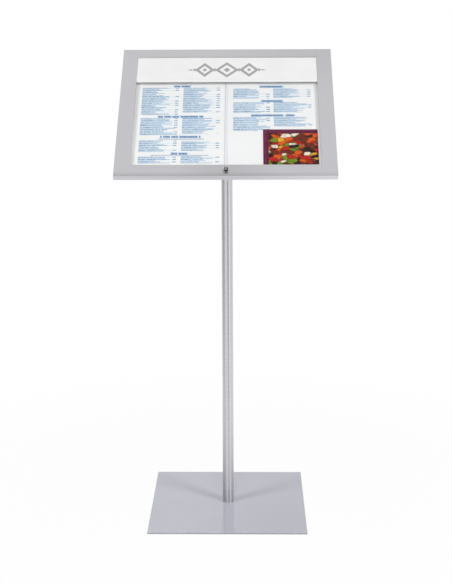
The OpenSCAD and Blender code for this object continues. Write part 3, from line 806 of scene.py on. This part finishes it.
def rolled_sheet():
    sheet = new_finish("lacquered_rolled_sheet")
    lines = sheet.noise(sheet.place((4, 700, 700), turn=(-tilt, 0, 0)), 1, detail=3)
    haze = sheet.noise(sheet.place(), 11, detail=3)
    colour = sheet.mix(lines.fade(0.3, 0.7), shaded(sheet_colour, 0.96), sheet_colour)
    return sheet.surface(colour, 0.42 + haze.fade(0.3, 0.7) * 0.08, lines, 0.003 * MM)


dress(rolled_sheet(), "back_panel", "page_ledge")

# %% [markdown]
# Screws, hinges and the inner plugs are zinc-plated steel. Bright zinc has a faint bluish cast and dull
# patches where it was handled. Cells of a Voronoi pattern, each with its own tone, give the patches.

# %% Zinc plate for fixings
zinc_colour = paint(205, 208, 212)


def zinc_plate():
    zinc = new_finish("bright_zinc_plate")
    at = zinc.place()
    cells = zinc.node("TexVoronoi", None, {"Vector": at, "Scale": 420}, out=1)
    tone = zinc.split(cells)[0]
    wear_and_painted_shade = zinc.noise(at, 160, detail=3).fade(0.45, 0.75)
    colour = zinc.mix(tone, shaded(zinc_colour, 0.88), shaded(zinc_colour, 1.05))
    colour = zinc.mix(wear_and_painted_shade * 0.35, colour, paint(168, 172, 180))
    return zinc.surface(colour, 0.26 + wear_and_painted_shade * 0.22, tone * 0.5 + wear_and_painted_shade * 0.5, 0.006 * MM, Metallic=1.0)


dress(zinc_plate(), "base_bolt", "foot_plug", "head_spigot", "bracket_screws", "tray_rivets",
      "hinge_case_leaf_left", "hinge_case_leaf_right", "hinge_door_leaf_left", "hinge_door_leaf_right",
      "hinge_pin_left", "hinge_pin_right", "case_leaf_screws", "door_leaf_screws", "door_corner_keys",
      "lock_nut", "lock_cam", "cam_screw", "lock_keeper")

# %% [markdown]
# The lock is chromed. Chrome is the smoothest metal here, but fingers and keys leave smears and hairlines on
# it, which show as slightly rougher patches. The keyway goes down into shadow, and a painted shade darkens
# the plug's face round it, which leaves the post in the middle bright. The bezel's rim and the neck under it
# get painted shade on their lower side, towards the front.

# %% Chrome for the lock
chrome_colour = paint(228, 229, 231)


def chrome():
    metal = new_finish("chromed_lock")
    vector = case_vector(metal)
    x, y, z = metal.split(vector)
    smears = metal.noise(vector, 0.7, detail=4)
    hairlines = metal.noise(metal.place((3000, 400, 400), turn=(-tilt, 0, 0.4)), 1, detail=2)
    up = y - lock_y / MM
    off_axis = (x * x + up * up) ** 0.5
    # The painted shade on the plug's face sits a little down and to the right
    right, down = x - 1.0, up + 1.3
    run = (right * right + down * down) ** 0.5
    painted_ring_shade = run.within(1.6, plug_head_r / MM) * (z > 0.2) * (0.6 + 0.35 * abs(right).fade(1.2, 3.4))
    # Painted shade on the lower side of the bezel's rim and of the neck
    rim_low = (bezel_t - bezel_edge_r) / MM
    rim = (off_axis > plug_head_r / MM) * (z > rim_low) * 0.7
    neck = (off_axis > bezel_r / MM - 0.3) * z.within(0.7, rim_low)
    dark = painted_ring_shade.either(rim.either(neck) * x.within(-2.8, 3.4) * (up < -1.5))
    colour = metal.mix(smears.fade(0.3, 0.7), shaded(chrome_colour, 0.93), chrome_colour)
    colour = metal.mix(dark, colour, paint(16, 15, 14))
    roughness = 0.09 + smears.fade(0.4, 0.8) * 0.1 + dark * 0.45
    return metal.surface(colour, roughness, hairlines, 0.001 * MM, Metallic=1.0 - dark * 0.6)


dress(chrome(), "lock_housing", "lock_plug")

# %% [markdown]
# The header is a glossy white sheet with a plain ornament in grey: a row of lozenges, outlined and solid by
# turns, with a tapering tip at each end. It is printed, so it is colour alone and needs no relief. Each
# lozenge is a sum: the distance across over its half width plus the distance up over its half height.

# %% White sheet with a printed ornament
header_low, header_high = case_box("header_panel")
window_top = case_l / 2 - top_rail_w
ornament_y = (header_low.y + window_top) / 2 / MM
ornament_half = 97
ornament_stroke = 10
tip_from = 84
tip_slope = 0.22
ornament_grey = paint(162, 162, 162)

# A lozenge is the middle's distance from the centre line, its half width and its half height
OUTLINED = ((0, 29, 27), (54, 24, 25))
SOLID = ((0, 8, 8), (54, 5.5, 6), (29.5, 4.5, 7), (78.5, 4, 6))


def header_finish():
    sheet = new_finish("white_sheet_with_ornament")
    vector = case_vector(sheet)
    x, y, z = sheet.split(vector)
    side = abs(x)
    up = abs(y - ornament_y)
    mark = side.within(tip_from, ornament_half) * (up < (ornament_half - side) * tip_slope)
    for middle, wide, high in OUTLINED:
        reach = abs(side - middle) / wide + up / high
        mark = mark.either(reach.within(1 - ornament_stroke / wide, 1))
    for middle, wide, high in SOLID:
        mark = mark.either(abs(side - middle) / wide + up / high < 1)
    # The back, which the open door shows, is bare
    mark = mark * (z > (header_low.z + header_high.z) / 2 / MM)
    haze = sheet.noise(vector, 0.02, detail=2)
    white = sheet.mix(haze.fade(0.3, 0.7), paint(234, 234, 234), paint(237, 237, 237))
    ripple = sheet.noise(vector, 0.35, detail=1)
    colour = sheet.mix(mark, white, ornament_grey)
    return sheet.surface(colour, 0.2 + haze * 0.06, ripple, 0.004 * MM, IOR=1.45)


dress(header_finish(), "header_panel")

# %% [markdown]
# The pages are printed menus. Their words are left as rows of small ink marks that only look like type from
# a step away: each row has a run of marks with random gaps, some rows add a dotted line and a short mark at
# the right, where a price would be, and the headings are larger and bolder. A page is a list of headings
# and of columns in millimetres, and one function turns both lists into masks. The rows, the marks and their
# random numbers are shared by all the columns, which keeps the tree small.

# %% Printed pages
row_pitch = 3.7
mark_pitch = 1.05
heading_pitch = 3.2
fine_pitch = 1.3
ink_patch = 9
ink_blue = paint(36, 88, 142)
pale_blue = paint(160, 210, 240)
heading_blue = paint(0, 96, 158)
paper_white = paint(241, 241, 241)
painted_margin_light = paint(250, 250, 250)

# A heading is left, right and middle height; a column is left, right, top, bottom and how full its rows are
LEFT_HEADINGS = ((-127, -88, 92.5), (-162, -55, -11), (-154, -60, -77.5), (-127, -89, -131.5))
LEFT_COLUMNS = (
    (-203, -115, 87.5, -4, 0.36), (-104, -16, 87.5, 3, 0.4),
    (-203, -115, -16, -72, 0.54), (-104, -16, -15, -68, 0.5),
    (-203, -115, -89, -126, 0.4), (-104, -16, -91, -123, 0.4),
    (-203, -115, -141, -162, 0.45), (-104, -16, -139, -162, 0.45),
)
RIGHT_HEADINGS = ((79, 139, 90.5), (83, 134, 41), (59, 161, -7.5))
RIGHT_COLUMNS = (
    (16, 103, 85.5, 50, 0.32), (112, 201, 85.5, 51, 0.35), (16, 103, 37, 1, 0.48), (112, 202, 37, 2, 0.5),
    (16, 103, -12, -59, 0.6), (112, 203, -12, -44, 0.55),
)
# Fine print under two headings: left, right, bottom and top
SUB_LINES = ((-158, -52, -86.5, -83), (-174, -40, -138.5, -135.5))


def total(masks):
    """The sum of a list of masks."""
    return sum(masks[1:], masks[0])


def printed_rows(finish, x, y, columns, seed):
    """Masks of the ink marks and of the pale halo and dotted lines of the given columns."""
    row, in_row = y.steps(row_pitch)
    cell, in_cell = x.steps(mark_pitch)
    letter = finish.chance(cell, row, seed)
    # Every other row is the name of a dish, in bolder marks, and the row below it says more in lighter ones
    named = (row / 2).fraction() > 0.25
    tall = (letter > 0.72) * 0.2 + named * 0.1
    body = (in_row > 0.15) * (in_row < tall + 0.62) * in_cell.within(0.06, 0.9) * (letter > 0.12)
    marks, halo = [], []
    for left, right, top, bottom, full in columns:
        width = right - left
        block_mask = x.within(left, right) * y.within(bottom, top)
        luck = finish.chance(row, left, seed)
        name_end = left + width * (0.2 + 0.28 * luck)
        words = x < left + width * (full + 0.42 * luck)
        priced = named * ((luck * 7).fraction() > 0.3)
        price = (x > right - 8) * priced
        leader = priced * in_row.within(0.15, 0.45) * (1 - words)
        weight = 0.52 + 0.12 * named + 0.36 * (named * (x < name_end)).either(price)
        printed = words.either(price)
        ground = printed * in_row.within(0.05, 0.92) * (0.6 + 0.4 * named)
        marks.append(block_mask * body * printed * weight)
        halo.append(block_mask * ground.either(leader))
    return total(marks), total(halo)


def printed_headings(finish, x, y, headings, seed):
    """Masks of the bold headings, one row of larger marks with a few gaps, and of the tint round them."""
    cell, in_cell = x.steps(heading_pitch)
    letter = finish.chance(cell, seed, 9)
    shown = (letter > 0.08) * in_cell.within(0.06, 0.9) * (0.8 + 0.2 * letter)
    bold, glow = [], []
    for left, right, middle in headings:
        bold.append(x.within(left, right) * y.within(middle - 3, middle + 3))
        glow.append(x.within(left - 2, right + 2) * y.within(middle - 5, middle + 5))
    return total(bold) * shown, total(glow)


def paper(finish, vector, colour):
    """Ends a page's tree: a sleeve over paper, with a slight cockle."""
    cockle = finish.noise(vector, 0.03, detail=2)
    return finish.surface(colour, 0.42 + cockle * 0.1, cockle, 0.3 * MM, IOR=1.2)


def print_text(finish, vector, x, y, headings, columns, seed):
    """The paper's colour with its headings and columns printed on it."""
    tone = finish.noise(vector, 0.015, detail=1)
    colour = finish.mix(tone.fade(0.3, 0.7), paper_white, shaded(paper_white, 0.985))
    # The outer margin is painted a shade whiter than the printed middle, as painted light where the rails
    # cast shade
    colour = finish.mix(abs(x).fade(198, 211), colour, painted_margin_light)
    marks, halo = printed_rows(finish, x, y, columns, seed)
    density = 0.75 + 0.25 * finish.chance(x.steps(ink_patch)[0], y.steps(row_pitch)[0], seed)
    colour = finish.mix(halo * 0.66, colour, pale_blue)
    colour = finish.mix(marks * density, colour, ink_blue)
    bold, glow = printed_headings(finish, x, y, headings, seed)
    colour = finish.mix(glow * 0.3, colour, pale_blue)
    return finish.mix(bold, colour, heading_blue)


def left_page():
    finish = new_finish("printed_page_left")
    vector = case_vector(finish)
    x, y = finish.split(vector)[:2]
    colour = print_text(finish, vector, x, y, LEFT_HEADINGS, LEFT_COLUMNS, 1)
    for left, right, bottom, top in SUB_LINES:
        sub_line = x.within(left, right) * y.within(bottom, top) * (x.steps(fine_pitch)[1] < 0.7)
        colour = finish.mix(sub_line * 0.65, colour, ink_blue)
    return paper(finish, vector, colour)


dress(left_page(), "page_left")

# %% [markdown]
# The lower corner of the right page carries a picture. Here it is a plain decorative panel: a plum-coloured
# field that runs off the page's edges, with an inner field of pebble-like facets in warm and green tones. A
# Voronoi pattern makes the facets, the random colour of each cell picks its tone from a ramp, and a dark
# line between the cells keeps them apart.

# %% The right page with its decorative panel
panel_left, panel_top = 86, -54
panel_border = 13
rule_from, rule_to = 4, 5.5
plum = paint(92, 12, 50)
FACET_TONES = (
    (0.0, paint(34, 12, 6)), (0.2, paint(196, 30, 8)), (0.38, paint(232, 92, 10)),
    (0.54, paint(112, 40, 12)), (0.68, paint(244, 178, 44)), (0.78, paint(116, 150, 22)),
    (0.9, paint(246, 236, 214)),
)


def right_page():
    finish = new_finish("printed_page_right")
    vector = case_vector(finish)
    x, y = finish.split(vector)[:2]
    colour = print_text(finish, vector, x, y, RIGHT_HEADINGS, RIGHT_COLUMNS, 2)

    def inside(border):
        """1 on the part of the panel within a border of some width."""
        return (x > panel_left + border) * (y < panel_top - border)

    stretch = {"Vector": vector, "Rotation": (0, 0, 0.5), "Scale": (0.062, 0.088, 0)}
    facets = {"Vector": finish.node("Mapping", None, stretch), "Scale": 1.0, "Randomness": 0.85}
    cells = finish.node("TexVoronoi", None, facets, out=1)
    gap = finish.node("TexVoronoi", {"feature": "DISTANCE_TO_EDGE"}, facets)
    tones = finish.node("ValToRGB", None, {0: finish.split(cells)[0]})
    ramp = tones.socket.node.color_ramp
    ramp.interpolation = "CONSTANT"
    for position, tone in FACET_TONES:
        stop = ramp.elements[0] if position == 0 else ramp.elements.new(position)
        stop.color = tone
    ramp.elements.remove(ramp.elements[-1])
    shade = finish.noise(vector, 0.25, detail=3)
    facet = finish.mix(shade.fade(0.4, 0.75) * 0.6, tones, paint(44, 14, 6))
    facet = finish.mix((1 - gap.fade(0.0, 0.1)) * 0.8, facet, paint(26, 8, 4))
    colour = finish.mix(inside(0), colour, plum)
    rule = inside(rule_from) * (1 - inside(rule_to))
    colour = finish.mix(rule * 0.3, colour, paint(170, 90, 130))
    colour = finish.mix(inside(panel_border), colour, facet)
    return paper(finish, vector, colour)


dress(right_page(), "page_right")

# %% [markdown]
# Clear acrylic shows what lies behind it and mirrors a little of the room, more at a glancing angle. Real
# refraction would bend the view by less than a millimetre and make noise, so the pane lets light straight
# through and adds the mirror by how much it faces away. Facing is used because it treats both sides alike.

# %% Clear acrylic for the pane
def clear_acrylic():
    pane = new_finish("clear_acrylic")
    facing_away = pane.node("LayerWeight", None, {"Blend": 0.5}, out=1)
    dust = pane.noise(case_vector(pane), 0.05, detail=4).fade(0.5, 0.9)
    mirror = 0.008 + 0.9 * facing_away ** 5 + dust * 0.004
    through = pane.node("BsdfTransparent", None, {"Color": (0.985, 0.987, 0.987, 1)})
    gloss = pane.node("BsdfGlossy", None, {"Color": (1, 1, 1, 1), "Roughness": 0.03})
    return pane.end(pane.node("MixShader", None, {0: mirror, 1: through, 2: gloss}))


dress(clear_acrylic(), "door_pane")

# %% [markdown]
# Three plain materials are left. The divider is an extruded plastic strip with a soft shine. The pads and
# the foam are black and matt, and foam has open cells where rubber is nearly smooth. The set screws are
# blackened steel, which keeps a little of the metal's shine.

# %% Plastic, rubber, foam and blackened steel
def divider_plastic():
    plastic = new_finish("pale_divider_plastic")
    flow = plastic.noise(plastic.place((700, 5, 5), turn=(-tilt, 0, 0)), 1, detail=2)
    colour = plastic.mix(flow, paint(226, 225, 231), paint(234, 233, 238))
    # A painted shadow line runs along its left edge
    across_strip = plastic.split(case_vector(plastic))[0]
    colour = plastic.mix(across_strip.within(-3.9, -2.4) * 0.35, colour, paint(160, 158, 172))
    return plastic.surface(colour, 0.3 + flow * 0.1, flow, 0.01 * MM)


def black_foam():
    foam = new_finish("black_cellular_foam")
    cells = foam.node("TexVoronoi", None, {"Vector": foam.place(), "Scale": 1800})
    colour = foam.mix(cells.fade(0.1, 0.6), paint(22, 22, 23), paint(46, 46, 48))
    return foam.surface(colour, 0.9, cells, 0.1 * MM)


def black_rubber():
    rubber = new_finish("black_pad_rubber")
    at = rubber.place()
    grain = rubber.noise(at, 900, detail=3)
    scuffs = rubber.noise(at, 60, detail=4).fade(0.5, 0.8)
    colour = rubber.mix(scuffs, paint(30, 30, 31), paint(62, 61, 60))
    return rubber.surface(colour, 0.7 + scuffs * 0.15, grain, 0.03 * MM)


def black_oxide():
    steel = new_finish("black_oxide_steel")
    patches = steel.noise(steel.place(), 500, detail=3)
    colour = steel.mix(patches, paint(26, 26, 29), paint(58, 58, 62))
    return steel.surface(colour, 0.36 + patches * 0.2, Metallic=0.8)


dress(divider_plastic(), "divider_strip")
dress(black_foam(), "door_seal", "pane_tape")
dress(black_rubber(), "corner_pads", "centre_pad")
dress(black_oxide(), "set_screws")

# %% [markdown]
# The studio is plain. The floor is a pale sheet that keeps the shadow. For the camera and for what mirrors
# or shows it, most of its white is its own, and that part grows towards its rim, so that it runs into the
# white backdrop without a line. Two high lamps stand to the left and right in front, and throw the soft
# shadows of the pole. A weaker one behind the camera lights the pages up to the window's edge. What the
# metal mirrors is the room: a white wall behind, an even ceiling, bright screens beside the camera and
# darker gaps between them. The world paints that room by direction, because a mirror image of it is all
# that the metal needs.

# %% Floor
floor_side = 3.0


def background_rays(finish):
    """1 for the rays that show the background: straight to the camera, mirrored or through clear plastic."""
    paths = finish.node("LightPath").socket.node.outputs
    camera_ray, glossy_ray, transmission_ray = [
        Wire(finish, paths[name]) for name in ("Is Camera Ray", "Is Glossy Ray", "Is Transmission Ray")]
    return camera_ray.either(transmission_ray), glossy_ray


def floor_finish():
    floor = new_finish("studio_floor")
    seen, mirrored = background_rays(floor)
    x, y, z = floor.split(floor.node("TexCoord", out=3))
    from_stand = (x * x + y * y) ** 0.5
    own_white = 0.94 + 0.06 * from_stand.fade(0.3, floor_side * 0.47)
    paper_floor = floor.node("BsdfDiffuse", None, {"Color": (0.94, 0.94, 0.94, 1)})
    white = floor.node("Emission", None, {"Color": (1, 1, 1, 1), "Strength": 1.0})
    share = seen.either(mirrored) * own_white
    return floor.end(floor.node("MixShader", None, {0: share, 1: paper_floor, 2: white}))


select_nothing()
bpy.ops.mesh.primitive_plane_add(size=floor_side, location=(0, 0, 0))
floor_plane = settle("studio_floor")
floor_plane.data.materials.append(floor_finish())

# %% Lamps
def lamp(name, azimuth, distance, height, width, tall, power):
    """A soft lamp at an angle to the right of the camera's side, aimed at the middle of the pole."""
    data = bpy.data.lights.new(name, "AREA")
    data.shape = "RECTANGLE"
    data.size, data.size_y = width, tall
    data.energy = power
    made = bpy.data.objects.new(name, data)
    bpy.context.scene.collection.objects.link(made)
    turn = math.radians(azimuth)
    at = Vector((math.sin(turn) * distance, -math.cos(turn) * distance, height))
    made.location = at
    made.rotation_euler = (at - Vector((0, 0, 0.6))).to_track_quat("Z", "Y").to_euler()
    made.visible_glossy = False


lamp("left_lamp", -56.5, 3.0, 2.75, 0.95, 1.2, 41.5)
lamp("right_lamp", 52, 3.0, 2.75, 0.95, 1.2, 44.5)
lamp("front_lamp", 2, 3.0, 1.55, 1.4, 0.6, 31)

# %% World
# Bright screens and, below zero, dark gaps: from and to, in degrees to the right, and what each adds
SCREENS = ((-106, -48, -0.35), (-46, -2, 0.16), (4, 30, -0.5), (34, 58, 0.46))
screen_blur = 4.0


def studio_world():
    world = Finish(bpy.data.worlds.new("studio"))
    direction = world.node("TexCoord", out=0)
    x, y, z = world.split(direction)
    # Degrees to the right of the camera's side, as seen from the pole
    around = x.math("ARCTAN2", x, y * -1) * (180 / math.pi)

    def edge(angle):
        return around.fade(angle - screen_blur, angle + screen_blur)

    level = 0.7 + 0.02 * around.fade(60, 75)
    for start, end, brightness in SCREENS:
        level = level + brightness * (edge(start) * (1 - edge(end)))
    # The wall behind the stand, then the ceiling
    for share, goal in ((y.fade(0.45, 0.95), 1.0), (z.fade(0.55, 0.7), 0.88)):
        level = level + share * (goal - level)
    # Straight to the camera the room behind the stand is plain white
    seen, mirrored = background_rays(world)
    # Matt surfaces get most of their light from the lamps, which keeps the shadows clear
    level = level * (0.42 + 0.58 * mirrored.either(seen))
    level = level + seen * (1.0 - level)
    light = world.node("Background", None, {"Color": (1, 1, 1, 1), "Strength": level})
    world.node("OutputWorld", None, {"Surface": light})
    return world.owner


bpy.context.scene.world = studio_world()
bpy.context.scene.view_settings.view_transform = "Standard"
print("studio ready")
